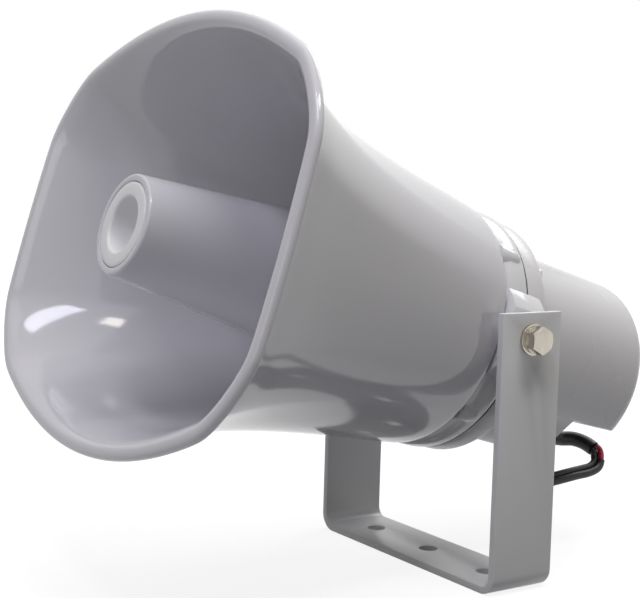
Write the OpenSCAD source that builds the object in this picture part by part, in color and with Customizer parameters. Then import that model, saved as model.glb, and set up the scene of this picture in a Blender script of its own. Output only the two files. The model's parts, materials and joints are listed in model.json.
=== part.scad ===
// Folded public-address horn speaker with a rounded rectangular bell on a U bracket.
// Origin: underside of the bracket's base, on its centre. +Z up, the bell faces -Y.
// Every horn piece is drawn in the horn's own frame, with its axis along Z and the mouth at +Z.

/* [Bracket] */
// Width of the steel strap
strap_w = 40; // [36:1:50]
// Thickness of the steel strap
strap_t = 4; // [3:0.5:5]
// Width over the two arms
bracket_span = 157; // [155:1:170]
// Height of the arms
bracket_h = 147.5; // [146:0.5:160]
// Inside radius of the two bends
bend_r = 6; // [3:1:12]
// Diameter of the three fixing holes in the base
base_hole_d = 10.5; // [8:0.5:12]
// Distance from the middle fixing hole to each outer one
base_hole_pitch = 50; // [40:1:54]
// Height of the tilt axis
pivot_h = 133.7; // [133:0.1:136]

/* [Bell] */
// Upward tilt of the bell at rest
tilt = 16.4; // [0:0.1:25]
// Distance from the tilt axis down to the horn's axis
axis_drop = 2; // [0:0.5:3]
// Outer width of the mouth
mouth_w = 279.8; // [260:0.2:300]
// Outer height of the mouth
mouth_h = 221.4; // [210:0.2:230]
// Radius of the mouth's corners
mouth_corner_r = 29.7; // [20:0.1:36]
// How far the middle of each short side stands out
side_bow = 4.2; // [1:0.1:8]
// How far the middle of each long side stands out
top_bow = 38.7; // [30:0.1:42]
// Distance from the tilt axis to the mouth
mouth_l = 195.4; // [185:0.2:205]
// Radius of the bell's round rear end
bell_rear_r = 69.5; // [69:0.1:71]
// Wall of the bell
bell_wall = 3; // [2.5:0.1:4]
// Growth of the flare, higher is a later flare
flare_k = 2.5; // [1.5:0.1:3.5]
// Shape of the flare near the rear, lower is a wider start
flare_p = 0.78; // [0.7:0.02:1]
// How far the rolled lip stands out from the bell's wall
lip_out = 5; // [3:0.5:6]
// Depth of the rolled lip
lip_depth = 8; // [6:0.5:10]

/* [Centre tube] */
// Radius of the reflector's flat tip
tip_r = 25.3; // [24:0.1:27]
// Distance from the tilt axis to the tip
tip_l = 202; // [198:0.5:206]
// Radius of the reflector's open rear end
reflector_rear_r = 41.8; // [40:0.1:44]
// Distance from the tilt axis to the reflector's open rear end
reflector_rear_l = 34; // [30:1:40]
// Wall of the reflector
reflector_wall = 2.4; // [2:0.1:3]
// Outer radius of the inset cap
cap_r = 21.4; // [20:0.1:22]
// Radius of the hollow cone in the cap
cone_r = 14.5; // [13:0.1:16]
// Depth of the hollow cone in the cap
cone_depth = 34; // [25:1:40]
// Outer radius of the throat tube's front end
throat_front_r = 15.5; // [14:0.1:16.5]
// Outer radius of the throat tube where it leaves its flange
throat_rear_r = 13.5; // [12:0.1:15]
// Wall of the throat tube
throat_wall = 2; // [1.6:0.1:2.5]
// Gap between the throat tube's front end and the cap's cone
turn_gap = 18; // [14:1:24]

/* [Ring and housing] */
// Radius of the mounting ring
ring_r = 68.4; // [67.5:0.1:69]
// Radius of the housing's front flange
flange_r = 67; // [66.5:0.1:67.3]
// Radius of the housing's barrel
barrel_r = 55; // [54:0.1:56]
// Distance from the horn's axis down to the flat under the barrel
flat_drop = 30; // [28:0.5:34]
// Distance from the tilt axis back to the housing's rear face
housing_rear_l = 117.8; // [112:0.2:120]
// Wall of the housing
housing_wall = 3; // [2.5:0.1:3.5]
// Half the width of the keel under the housing
keel_half_w = 36; // [34:0.5:38]
// Distance from the horn's axis down to the keel's bottom
keel_drop = 55; // [53:0.5:57]
// Distance from the tilt axis back to the end of the keel's flat bottom
keel_rear_l = 66; // [62:1:70]
// Width of the lug that carries the bolt
lug_w = 20; // [18:1:21]
// Height of the lug where it leaves the ring
lug_h = 46; // [40:1:48]

/* [Driver] */
// Radius of the driver's front cover
cover_r = 46; // [44:0.5:47]
// Radius of the dome diaphragm
dome_r = 24; // [22:0.5:26]
// Height of the dome
dome_h = 7; // [6:0.5:8]
// Free travel of the diaphragm each way
dome_travel = 0.3; // [0.2:0.05:0.4]
// Radius of the ring magnet
magnet_r = 37; // [34:0.5:37.5]
// Thickness of the ring magnet
magnet_t = 18; // [12:1:20]
// Thickness of the steel plates
plate_t = 5; // [4:0.5:6]

/* [Fasteners and cable] */
// Diameter of the tilt bolts
bolt_d = 8; // [6:0.5:8]
// Across flats of the bolt heads and captive nuts
bolt_af = 13; // [10:0.5:13]
// Radius of the circle that the housing screws stand on
housing_screw_r = 61.5; // [61:0.1:62]
// Radius of the circle that the driver screws stand on
driver_screw_r = 41.5; // [41:0.1:42]
// Diameter of the cable's black sheath
sheath_d = 8.4; // [7:0.1:8.6]
// Diameter of the red core where it shows
core_d = 3.4; // [3:0.1:3.6]
// Diameter of the black sleeves over the two cores
sleeve_d = 4.6; // [4:0.1:4.7]

/* [Hidden] */
$fn = 96;

// Clearances
seat_gap = 0.3;
running_gap = 0.3;
thread_gap = 0.05;
gasket_t = 0.8;
overlap = 0.5;

// Places along the horn's axis
bell_rear_l = 13;
bell_floor_l = bell_rear_l + bell_wall;
ring_front_l = bell_rear_l - gasket_t;
ring_rear_l = -4.2;
flange_front_l = ring_rear_l - gasket_t;
flange_rear_l = -20;
web_front_l = 9;
web_rear_l = web_front_l - 4;
cover_front_l = web_rear_l - 1;
cover_rear_l = -12.7;
spacer_rear_l = cover_rear_l - 4.1;
top_plate_rear_l = spacer_rear_l - plate_t;
magnet_rear_l = top_plate_rear_l - magnet_t;
throat_flange_t = 3.5;
throat_flange_r = 60;
bell_floor_r = 46.5;
bell_edge_round = 1.6;

// Mouth outline
side_x = mouth_w / 2 - side_bow;
top_y = mouth_h / 2 - top_bow;
side_steps = 4;
corner_steps = 8;
top_steps = 6;
flare_steps = 13;
lip_round = 2.4;

// Arms, lugs and bolts
arm_outer_x = bracket_span / 2;
arm_inner_x = arm_outer_x - strap_t;
friction_washer_t = 1;
flat_washer_t = 1.6;
spring_washer_t = 2;
washer_r = bolt_d / 2 + 4.3;
spring_washer_r = bolt_d / 2 + 3.2;
bolt_head_t = 5.3;
nut_t = 6.5;
lug_outer_x = arm_inner_x - friction_washer_t;
nut_inner_x = 56;
nut_boss_r = 9.6;
bolt_tip_x = nut_inner_x + 1;
flat_washer_x = arm_outer_x + flat_washer_t;
bolt_seat_x = flat_washer_x + spring_washer_t;

// Screws
screw_angles = [40, 140, 220, 320];
driver_screw_angles = [30, 150, 210, 330];
screw_shank_r = 2;
screw_head_r = 3.6;
screw_head_t = 2.6;
screw_boss_r = 4.6;
ring_boss_r = 6.6;
ring_boss_at = 63.6;

// Housing
flange_wall = 2.6;
barrel_round = 14;
barrel_round_depth = 12;
keel_round = 12;
spout_r = 9;
spout_drop = 42;
spout_rear_l = 88;
gland_flange_r = 8;
gland_flange_t = 2.5;
gland_length = 15;
gland_rear_l = spout_rear_l + gland_flange_t + gland_length;

// Routes of the free lead, in the part's own frame: x, y, z
sheath_route = [[0, 89, 61.6], [0, 94, 60.1], [1, 100, 59], [5, 106, 59], [11, 109.5, 57.5], [17.5, 111, 54.8]];
red_route = [[18.5, 112.5, 56.4], [21, 113.4, 54.9], [23.2, 112.7, 52.2], [24.6, 111.2, 49.8]];
sleeve_route = [[25, 110.7, 49.1], [26.2, 108.6, 46.8], [27.5, 104.5, 44.8], [29, 97, 43.6], [30, 88, 43], [30, 79, 42],
    [29, 70, 41], [27.5, 61, 40]];
black_route = [[18.5, 110.2, 52.9], [19.6, 109.9, 50.6], [21.2, 108.2, 48.5], [22.6, 104.5, 47], [24.6, 97, 46.8],
    [25.5, 88, 46.9], [25.5, 79, 46], [25, 70, 44.6], [23.5, 62, 43.5]];
wire_d = 1.8;
wire_end_l = 7;
terminal_x = 6;
strip_y = -driver_screw_r - 1;

// Helpers
module horn_frame() {
    translate([0, 0, pivot_h]) rotate([90 - tilt, 0, 0]) translate([0, -axis_drop, 0]) children();
}

module turned(profile) {
    rotate_extrude() polygon(profile);
}

module tube_between(outer_r, inner_r, front_l, rear_l) {
    translate([0, 0, rear_l]) difference() {
        cylinder(r = outer_r, h = front_l - rear_l);
        translate([0, 0, -1]) cylinder(r = inner_r, h = front_l - rear_l + 2);
    }
}

module at_angles(angles, radius) {
    for (angle = angles) rotate([0, 0, angle]) translate([radius, 0, 0]) children();
}

// Runs along X on the chosen side, 1 for right and -1 for left
module cross_rod(side, from_x, to_x, radius, sides = 96) {
    translate([side * from_x, 0, pivot_h]) rotate([0, side * 90, 0])
        cylinder(r = radius, h = to_x - from_x, $fn = sides);
}

function arc_points(cx, cy, radius, from, to, steps) =
    [for (i = [0 : steps]) let (a = from + (to - from) * i / steps) [cx + radius * cos(a), cy + radius * sin(a)]];

// Bell: a closed loft through rings of equal point count
function bow_out(x, y) = [
    side_bow * (1 - pow(y / top_y, 2)),
    top_bow * (1 - pow(x / side_x, 2))
];

function corner_point(a) =
    let (x = side_x - mouth_corner_r * (1 - cos(a)), y = top_y - mouth_corner_r * (1 - sin(a)), bow = bow_out(x, y))
    [x + bow[0] * cos(a), y + bow[1] * sin(a)];

mouth_quarter = concat(
    [for (i = [0 : side_steps - 1]) let (y = (top_y - mouth_corner_r) * i / side_steps) [side_x + bow_out(0, y)[0], y]],
    [for (i = [0 : corner_steps]) corner_point(90 * i / corner_steps)],
    [for (i = [1 : top_steps]) let (x = (side_x - mouth_corner_r) * (1 - i / top_steps)) [x, top_y + bow_out(x, 0)[1]]]
);
quarter_n = len(mouth_quarter) - 1;
mouth_outline = concat(
    mouth_quarter,
    [for (i = [quarter_n - 1 : -1 : 0]) [-mouth_quarter[i][0], mouth_quarter[i][1]]],
    [for (i = [1 : quarter_n]) [-mouth_quarter[i][0], -mouth_quarter[i][1]]],
    [for (i = [quarter_n - 1 : -1 : 1]) [mouth_quarter[i][0], -mouth_quarter[i][1]]]
);
outline_n = len(mouth_outline);

function unit(v) = v / norm(v);

// Moves every point of a ring straight inwards
function inset_ring(ring, d) = [
    for (i = [0 : outline_n - 1])
        let (t = unit(ring[(i + 1) % outline_n] - ring[(i + outline_n - 1) % outline_n]))
        ring[i] + d * [-t[1], t[0]]
];

function circle_ring(r) = [for (p = mouth_outline) r * unit(p)];

bell_outline = inset_ring(mouth_outline, lip_out);

function flare(u) = pow((exp(flare_k * u) - 1) / (exp(flare_k) - 1), flare_p);

function bell_section(u) = let (w = flare(u), round_end = circle_ring(bell_rear_r))
    [for (i = [0 : outline_n - 1]) round_end[i] * (1 - w) + bell_outline[i] * w];

function bell_l(u) = bell_rear_l + (mouth_l - bell_rear_l) * u;

// Each entry is a ring and its place along the axis
outer_u = [for (i = [0 : flare_steps]) 0.015 + (1 - lip_depth / (mouth_l - bell_rear_l) - 0.015) * i / flare_steps];
inner_u = [for (i = [flare_steps : -1 : 0]) 0.04 + (0.975 - 0.04) * i / flare_steps];
bell_rings = concat(
    [[circle_ring(bell_floor_r), bell_rear_l]],
    [[circle_ring(bell_rear_r - bell_edge_round), bell_rear_l]],
    [[circle_ring(bell_rear_r - 0.4), bell_rear_l + 0.5]],
    [for (u = outer_u) [bell_section(u), bell_l(u)]],
    [[inset_ring(mouth_outline, 1), mouth_l - lip_depth]],
    [[mouth_outline, mouth_l - lip_depth + 1]],
    [[mouth_outline, mouth_l - lip_round]],
    [[inset_ring(mouth_outline, lip_round * 0.3), mouth_l - lip_round * 0.3]],
    [[inset_ring(mouth_outline, lip_round), mouth_l]],
    [[inset_ring(mouth_outline, lip_out + bell_wall - lip_round), mouth_l]],
    [[inset_ring(mouth_outline, lip_out + bell_wall - lip_round * 0.3), mouth_l - lip_round * 0.5]],
    [for (u = inner_u) [inset_ring(bell_section(u), bell_wall), bell_l(u)]],
    [[inset_ring(bell_section(0.01), bell_wall + 1.5), bell_floor_l + 1.2]],
    [[inset_ring(bell_section(0.01), bell_wall + 4), bell_floor_l]],
    [[circle_ring(bell_floor_r), bell_floor_l]]
);

module ring_loft(rings) {
    count = len(rings);
    points = [for (r = rings) for (p = r[0]) [p[0], p[1], r[1]]];
    faces = [
        for (r = [0 : count - 1]) for (i = [0 : outline_n - 1])
            let (a = r * outline_n + i, b = r * outline_n + (i + 1) % outline_n,
                c = ((r + 1) % count) * outline_n + (i + 1) % outline_n,
                d = ((r + 1) % count) * outline_n + i)
            for (f = [[a, c, b], [a, d, c]]) f
    ];
    polyhedron(points, faces);
}

module bell() {
    color("gainsboro") horn_frame() ring_loft(bell_rings);
}

// Bracket: one bent strap
module bracket() {
    outer_bend = bend_r + strap_t;
    color("whitesmoke") difference() {
        rotate([90, 0, 0]) translate([0, 0, -strap_w / 2]) linear_extrude(strap_w) difference() {
            union() {
                translate([-arm_outer_x, outer_bend]) square([bracket_span, bracket_h - outer_bend]);
                translate([-arm_outer_x + outer_bend, 0]) square([bracket_span - 2 * outer_bend, outer_bend + 1]);
                for (side = [-1, 1]) translate([side * (arm_outer_x - outer_bend), outer_bend]) circle(outer_bend);
            }
            translate([-arm_inner_x, outer_bend]) square([2 * arm_inner_x, bracket_h]);
            translate([-arm_inner_x + bend_r, strap_t]) square([2 * (arm_inner_x - bend_r), bracket_h]);
            for (side = [-1, 1]) translate([side * (arm_inner_x - bend_r), outer_bend]) circle(bend_r);
        }
        for (i = [-1 : 1]) translate([i * base_hole_pitch, 0, -1]) cylinder(d = base_hole_d, h = strap_t + 2);
        for (side = [-1, 1]) cross_rod(side, arm_inner_x - 1, arm_outer_x + 1, bolt_d / 2 + running_gap);
    }
}

// Centre tube
function reflector_r(l) = reflector_rear_r + (tip_r - reflector_rear_r) * (l - reflector_rear_l) / (tip_l - reflector_rear_l);

cap_seat_l = tip_l - 6;
cap_ledge_r = 18.5;
throat_front_l = tip_l - cone_depth - turn_gap + 14;

module reflector_tube() {
    color("gainsboro") horn_frame() turned(concat(
        [[reflector_rear_r - reflector_wall, reflector_rear_l], [reflector_rear_r - 0.6, reflector_rear_l]],
        [[reflector_rear_r, reflector_rear_l + 0.8], [reflector_r(tip_l - 1.2), tip_l - 1.2]],
        arc_points(tip_r - 1.2, tip_l - 1.2, 1.2, 0, 90, 4),
        [[cap_r + seat_gap, tip_l], [cap_r + seat_gap, cap_seat_l], [cap_ledge_r, cap_seat_l]],
        [[cap_ledge_r, cap_seat_l - 2], [reflector_r(cap_seat_l - 5) - reflector_wall, cap_seat_l - 5]]
    ));
}

module reflector_cap() {
    cone_tip_l = tip_l - cone_depth;
    skirt_r = cap_ledge_r - seat_gap;
    color("white") horn_frame() turned(concat(
        [[0, cone_tip_l], [cone_r * 0.28, cone_tip_l + 2.5], [cone_r * 0.62, cone_tip_l + cone_depth * 0.42]],
        [[cone_r * 0.84, tip_l - 8], [cone_r, tip_l - 1.8]],
        arc_points(cone_r + 1, tip_l - 1.8, 1, 180, 90, 4),
        [[cap_r - 0.5, tip_l - 0.8], [cap_r, tip_l - 1.3], [cap_r, cap_seat_l], [skirt_r, cap_seat_l]],
        [[skirt_r, cap_seat_l - 3.5], [skirt_r - 2, cap_seat_l - 3.5], [cone_r * 0.84 + 2.2, tip_l - 10]],
        [[cone_r * 0.62 + 2.2, tip_l - 21], [cone_r * 0.28 + 2.2, cone_tip_l + 0.5], [0, cone_tip_l - 3]]
    ));
}

fin_angles = [0, 90, 180, 270];
fin_t = 2.4;
fin_front_l = 96;
throat_bore_r = 10;

// Outer radius of the throat tube at a place along the axis
function throat_r(l) = throat_rear_r + (throat_front_r - throat_rear_r) * (l - bell_floor_l) / (throat_front_l - bell_floor_l);

module throat_tube() {
    flange_front = bell_floor_l + throat_flange_t;
    fin_rear_l = flange_front - overlap;
    fin_outer_rear = reflector_r(reflector_rear_l) - reflector_wall - seat_gap;
    fin_outer_front = reflector_r(fin_front_l) - reflector_wall - seat_gap;
    color("gainsboro") horn_frame() difference() {
        union() {
            turned([[0, web_front_l], [bell_floor_r - 1, web_front_l], [bell_floor_r - 1, bell_floor_l],
                [throat_flange_r, bell_floor_l], [throat_flange_r, flange_front - 1], [throat_flange_r - 1, flange_front],
                [throat_rear_r + 5, flange_front], [throat_rear_r + 1.5, flange_front + 1.5],
                [throat_r(flange_front + 5), flange_front + 5], [throat_front_r, throat_front_l], [0, throat_front_l]]);
            for (angle = fin_angles) rotate([0, 0, angle]) rotate([90, 0, 0])
                translate([0, 0, -fin_t / 2]) linear_extrude(fin_t) polygon([
                    [throat_rear_r - 1, fin_rear_l], [fin_outer_rear - 12, fin_rear_l], [fin_outer_rear, reflector_rear_l],
                    [fin_outer_front, fin_front_l], [throat_r(fin_front_l + 14) - 1, fin_front_l + 14]]);
        }
        turned([[0, web_front_l - 1], [throat_bore_r, web_front_l - 1], [throat_rear_r - throat_wall, bell_floor_l + 8],
            [throat_front_r - throat_wall, throat_front_l], [throat_front_r - throat_wall, throat_front_l + 1],
            [0, throat_front_l + 1]]);
        at_angles(driver_screw_angles, driver_screw_r) translate([0, 0, web_front_l - 1])
            cylinder(r = screw_shank_r + thread_gap, h = 9, $fn = 32);
    }
}

module bell_gasket() {
    color("dimgray") horn_frame() tube_between(ring_r - 2.4, bell_floor_r + 2, bell_rear_l, ring_front_l);
}

// Mounting ring with its web, lugs and bosses
ring_wall = 6;

module ring_body() {
    rear_round = 3;
    turned(concat(
        [[ring_r - ring_wall, ring_rear_l], [ring_r - rear_round, ring_rear_l]],
        arc_points(ring_r - rear_round, ring_rear_l + rear_round, rear_round, -90, 0, 5),
        [[ring_r, ring_front_l - 5], [ring_r - 1.6, ring_front_l], [bell_floor_r + 1, ring_front_l]],
        [[bell_floor_r + 1, web_front_l], [driver_screw_r - 12, web_front_l], [driver_screw_r - 12, web_rear_l]],
        [[ring_r - ring_wall, web_rear_l]]
    ));
}

module lug(side) {
    foot_x = ring_r - 3;
    depth_rear = -lug_w / 2;
    translate([0, 0, depth_rear]) linear_extrude(ring_front_l - depth_rear) polygon([
        [side * foot_x, axis_drop - lug_h / 2], [side * (lug_outer_x - 3), axis_drop - lug_h / 2 + 5],
        [side * lug_outer_x, axis_drop - lug_h / 2 + 9], [side * lug_outer_x, axis_drop + lug_h / 2 - 9],
        [side * (lug_outer_x - 3), axis_drop + lug_h / 2 - 5], [side * foot_x, axis_drop + lug_h / 2]]);
}

module nut_boss(side) {
    translate([side * nut_inner_x, axis_drop, 0]) rotate([0, side * 90, 0])
        cylinder(r = nut_boss_r, h = ring_r - 4 - nut_inner_x);
}

module mounting_ring() {
    color("ghostwhite") horn_frame() difference() {
        union() {
            ring_body();
            for (side = [-1, 1]) {
                difference() {
                    lug(side);
                    translate([0, 0, flange_rear_l]) cylinder(r = flange_r + seat_gap, h = flange_front_l - flange_rear_l + gasket_t);
                }
                intersection() {
                    nut_boss(side);
                    translate([0, 0, flange_rear_l]) cylinder(r = flange_r - flange_wall - seat_gap, h = ring_front_l - flange_rear_l);
                }
            }
            at_angles(screw_angles, ring_boss_at) {
                translate([0, 0, 3]) cylinder(r = ring_boss_r, h = ring_front_l - 3);
                translate([0, 0, 3]) sphere(r = ring_boss_r);
            }
        }
        translate([0, 0, ring_rear_l - 20]) difference() {
            cylinder(r = ring_r + 6, h = 20);
            translate([0, 0, -1]) cylinder(r = flange_r + seat_gap - 0.01, h = 22);
            translate([-lug_outer_x - 1, axis_drop - lug_h / 2, -1]) cube([2 * lug_outer_x + 2, lug_h, 22]);
        }
        translate([0, 0, cover_front_l - 30]) cylinder(r = cover_r + 1.5, h = 30 + web_rear_l - cover_front_l);
        for (side = [-1, 1]) translate([side * (nut_inner_x - 1), axis_drop, 0]) rotate([0, side * 90, 0]) {
            cylinder(r = bolt_d / 2 + running_gap, h = lug_outer_x - nut_inner_x + 3);
            cylinder(d = (bolt_af + 0.3) / cos(30), h = nut_t + 1.2, $fn = 6);
        }
        at_angles(screw_angles, housing_screw_r) translate([0, 0, ring_rear_l - 6])
            cylinder(r = screw_shank_r + thread_gap, h = 18, $fn = 32);
        at_angles(driver_screw_angles, driver_screw_r) translate([0, 0, web_rear_l - 1])
            cylinder(r = screw_shank_r + 0.2, h = web_front_l - web_rear_l + 2, $fn = 32);
    }
}

module housing_gasket() {
    color("dimgray") horn_frame() tube_between(flange_r - 0.3, flange_r - flange_wall + 0.3, ring_rear_l, flange_front_l);
}

// Rear housing: barrel with a flat underside, a deep keel in front and a spout for the cable
module housing_shape(wall) {
    front = flange_rear_l + 3;
    rear = -housing_rear_l + wall;
    radius = barrel_r - wall;
    intersection() {
        turned(concat(
            [[0, front], [radius, front]],
            [for (i = [0 : 8]) let (a = 90 * i / 8)
                [radius - barrel_round * (1 - cos(a)), rear + barrel_round_depth * (1 - sin(a))]],
            [[0, rear]]
        ));
        translate([-barrel_r, -flat_drop + wall, rear - 1]) cube([2 * barrel_r, 2 * barrel_r, front - rear + 2]);
    }
}

module keel_shape(wall) {
    half_w = keel_half_w - wall;
    bottom = -keel_drop + wall;
    round_r = keel_round - wall;
    front = flange_rear_l + 3;
    ramp_top_l = -keel_rear_l - 22 + wall * 0.4;
    ramp_end_l = -keel_rear_l + wall;
    intersection() {
        translate([0, 0, ramp_top_l]) linear_extrude(front - ramp_top_l) {
            translate([-half_w, bottom + round_r]) square([2 * half_w, -bottom - round_r - flat_drop + 12]);
            translate([-half_w + round_r, bottom]) square([2 * (half_w - round_r), round_r + 1]);
            for (side = [-1, 1]) translate([side * (half_w - round_r), bottom + round_r]) circle(round_r);
        }
        rotate([0, -90, 0]) translate([0, 0, -keel_half_w - 1]) linear_extrude(2 * keel_half_w + 2) polygon([
            [front + 1, bottom - 1], [ramp_end_l, bottom - 1], [ramp_end_l, bottom], [ramp_top_l, -flat_drop + wall * 0.8],
            [ramp_top_l, 0], [front + 1, 0]]);
    }
}

module rear_housing() {
    color("whitesmoke") horn_frame() difference() {
        union() {
            turned(concat(
                [[0, flange_front_l], [flange_r, flange_front_l], [flange_r, flange_rear_l + 4]],
                arc_points(flange_r - 4, flange_rear_l + 4, 4, 0, -90, 5),
                [[0, flange_rear_l]]
            ));
            housing_shape(0);
            keel_shape(0);
            translate([0, -spout_drop, -spout_rear_l]) cylinder(r = spout_r, h = spout_rear_l - keel_rear_l + 4);
        }
        difference() {
            translate([0, 0, flange_rear_l + housing_wall])
                cylinder(r = flange_r - flange_wall, h = flange_front_l - flange_rear_l);
            at_angles(screw_angles, housing_screw_r) translate([0, 0, flange_rear_l])
                cylinder(r = screw_boss_r, h = flange_front_l - flange_rear_l);
        }
        housing_shape(housing_wall);
        keel_shape(housing_wall);
        translate([0, 0, flange_rear_l - 1]) intersection() {
            cylinder(r = barrel_r - housing_wall, h = 20);
            translate([-barrel_r, -flat_drop + housing_wall, 0]) cube([2 * barrel_r, 2 * barrel_r, 20]);
        }
        at_angles(screw_angles, housing_screw_r) translate([0, 0, flange_rear_l - 1])
            cylinder(r = screw_shank_r + 0.2, h = flange_front_l - flange_rear_l + 2, $fn = 32);
        translate([0, -spout_drop, -spout_rear_l - 1]) cylinder(r = sheath_d / 2 + 1.4, h = spout_rear_l - keel_rear_l + 12);
    }
}

module pan_screw(head_l, tip_l_at) {
    translate([0, 0, head_l - screw_head_t]) difference() {
        union() {
            cylinder(r1 = screw_head_r - 0.8, r2 = screw_head_r, h = 0.9);
            translate([0, 0, 0.9]) cylinder(r = screw_head_r, h = screw_head_t - 0.9);
            cylinder(r = screw_shank_r, h = tip_l_at - head_l + screw_head_t, $fn = 32);
        }
        for (turn = [0, 90]) rotate([0, 0, turn]) translate([-1.9, -0.4, -1]) cube([3.8, 0.8, 2.4]);
    }
}

module housing_screws() {
    color("silver") horn_frame() at_angles(screw_angles, housing_screw_r) pan_screw(flange_rear_l, 7.5);
}

// Driver
module driver_gasket() {
    color("dimgray") horn_frame() tube_between(driver_screw_r - 4, throat_bore_r + 1, web_rear_l, cover_front_l);
}

cavity_r = dome_r + 1.6;
dome_base_l = cover_rear_l - 0.4 - dome_travel - 0.1;
dome_sphere_r = (dome_r * dome_r + dome_h * dome_h) / (2 * dome_h);
recess_r = 37.2;

module driver_front_cover() {
    color("gray") horn_frame() difference() {
        translate([0, 0, cover_rear_l]) cylinder(r = cover_r, h = cover_front_l - cover_rear_l);
        turned([[0, cover_front_l + 1], [throat_bore_r, cover_front_l + 1], [throat_bore_r, cover_front_l - 1],
            [cavity_r, cover_rear_l + 4], [cavity_r, cover_rear_l - 1], [0, cover_rear_l - 1]]);
        at_angles(driver_screw_angles, driver_screw_r) translate([0, 0, cover_rear_l - 1])
            cylinder(r = screw_shank_r + 0.2, h = cover_front_l - cover_rear_l + 2, $fn = 32);
    }
}

plug_r = 19;

module phase_plug() {
    plug_rear_l = dome_base_l + 4.2;
    color("ivory") horn_frame() {
        turned([[0, cover_front_l - 1], [2, cover_front_l - 2], [plug_r, plug_rear_l + 1.8], [plug_r, plug_rear_l],
            [plug_r / 2, plug_rear_l + 3], [0, plug_rear_l + 4]]);
        for (angle = [30, 150, 270]) rotate([0, 0, angle]) translate([plug_r - 1, -1, plug_rear_l - 0.4])
            cube([cavity_r - plug_r + 0.4, 2, 0.9]);
        tube_between(cavity_r - 0.1, cavity_r - 1.4, plug_rear_l + 0.6, plug_rear_l - 3.2);
    }
}

module diaphragm() {
    skin = 0.5;
    centre_l = dome_base_l - dome_sphere_r + dome_h;
    color("goldenrod") horn_frame() difference() {
        union() {
            intersection() {
                translate([0, 0, centre_l]) sphere(r = dome_sphere_r);
                translate([0, 0, dome_base_l]) cylinder(r = dome_r + 2, h = dome_h + 1);
            }
            translate([0, 0, dome_base_l]) cylinder(r = recess_r - 0.6, h = skin);
        }
        translate([0, 0, centre_l]) sphere(r = dome_sphere_r - skin);
    }
}

module voice_coil() {
    color("chocolate") horn_frame() tube_between(dome_r + 1.7, dome_r + 1, dome_base_l, dome_base_l - 10.5);
}

module diaphragm_spacer() {
    color("darkgray") horn_frame() difference() {
        translate([0, 0, spacer_rear_l]) cylinder(r = cover_r, h = cover_rear_l - spacer_rear_l);
        translate([0, 0, dome_base_l - dome_travel - 0.1]) cylinder(r = recess_r, h = 10);
        translate([0, 0, spacer_rear_l - 1]) cylinder(r = dome_r + 5, h = 20);
        at_angles(driver_screw_angles, driver_screw_r) translate([0, 0, spacer_rear_l - 1])
            cylinder(r = screw_shank_r + 0.2, h = 20, $fn = 32);
    }
}

coil_gap = 0.7;

module top_plate() {
    color("silver") horn_frame() tube_between(magnet_r, dome_r + 1.7 + coil_gap, spacer_rear_l, top_plate_rear_l);
}

module ring_magnet() {
    color("black") horn_frame() tube_between(magnet_r, dome_r + 6, top_plate_rear_l, magnet_rear_l);
}

module pole_plate() {
    color("silver") horn_frame() {
        translate([0, 0, magnet_rear_l - plate_t]) cylinder(r = magnet_r, h = plate_t);
        translate([0, 0, magnet_rear_l - plate_t]) cylinder(r = dome_r + 1 - coil_gap, h = plate_t + magnet_t + plate_t);
    }
}

module driver_screws() {
    color("silver") horn_frame() at_angles(driver_screw_angles, driver_screw_r) pan_screw(spacer_rear_l, web_front_l + 6);
}

strip_l = spacer_rear_l - 2;

module terminal_strip() {
    color("saddlebrown") horn_frame() {
        translate([-11, strip_y - 3, strip_l]) cube([22, 6, 2]);
        for (side = [-1, 1]) translate([side * terminal_x - 1.5, strip_y - 0.4, strip_l - 5]) cube([3, 0.8, 5.5]);
    }
}

// Fasteners on the tilt axis, one set on each side
module tilt_bolt(side) {
    head_r = bolt_af / 2 / cos(30);
    color("silver") {
        cross_rod(side, bolt_tip_x, bolt_seat_x + 1, bolt_d / 2);
        translate([side * bolt_seat_x, 0, pivot_h]) rotate([0, side * 90, 0]) intersection() {
            cylinder(r = head_r, h = bolt_head_t, $fn = 6);
            cylinder(r1 = head_r + bolt_head_t * 1.6, r2 = head_r - 0.9, h = bolt_head_t);
        }
    }
}

module washer(side, from_x, thickness, outer_r, tone) {
    color(tone) difference() {
        cross_rod(side, from_x, from_x + thickness, outer_r);
        cross_rod(side, from_x - 1, from_x + thickness + 1, bolt_d / 2 + thread_gap);
    }
}

module spring_washer(side) {
    difference() {
        washer(side, flat_washer_x, spring_washer_t, spring_washer_r, "silver");
        translate([side * flat_washer_x, 0, pivot_h]) rotate([20, 0, 0])
            translate([-4, 0, -0.6]) cube([8, spring_washer_r + 2, 1.2]);
    }
}

module captive_nut(side) {
    color("silver") difference() {
        translate([side * nut_inner_x, 0, pivot_h]) rotate([0, side * 90, 0]) rotate([0, 0, side * (90 - tilt)])
            cylinder(d = bolt_af / cos(30), h = nut_t, $fn = 6);
        cross_rod(side, nut_inner_x - 1, nut_inner_x + nut_t + 1, bolt_d / 2 + thread_gap);
    }
}

module cable_gland() {
    color("black") horn_frame() translate([0, -spout_drop, 0]) difference() {
        turned([[0, -keel_rear_l - 3], [sheath_d / 2 + 1.2, -keel_rear_l - 3], [sheath_d / 2 + 1.2, -spout_rear_l],
            [gland_flange_r, -spout_rear_l], [gland_flange_r, -spout_rear_l - gland_flange_t],
            [sheath_d / 2 + 2.4, -spout_rear_l - gland_flange_t - 0.5], [sheath_d / 2 + 1, -gland_rear_l], [0, -gland_rear_l]]);
        translate([0, 0, -gland_rear_l - 1]) cylinder(r = core_d, h = gland_rear_l - keel_rear_l + 10);
    }
}

// Cords: one smooth tube through hand-set points
function spline_point(p0, p1, p2, p3, t) =
    0.5 * (2 * p1 + (p2 - p0) * t + (2 * p0 - 5 * p1 + 4 * p2 - p3) * t * t + (3 * p1 - p0 - 3 * p2 + p3) * t * t * t);

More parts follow.
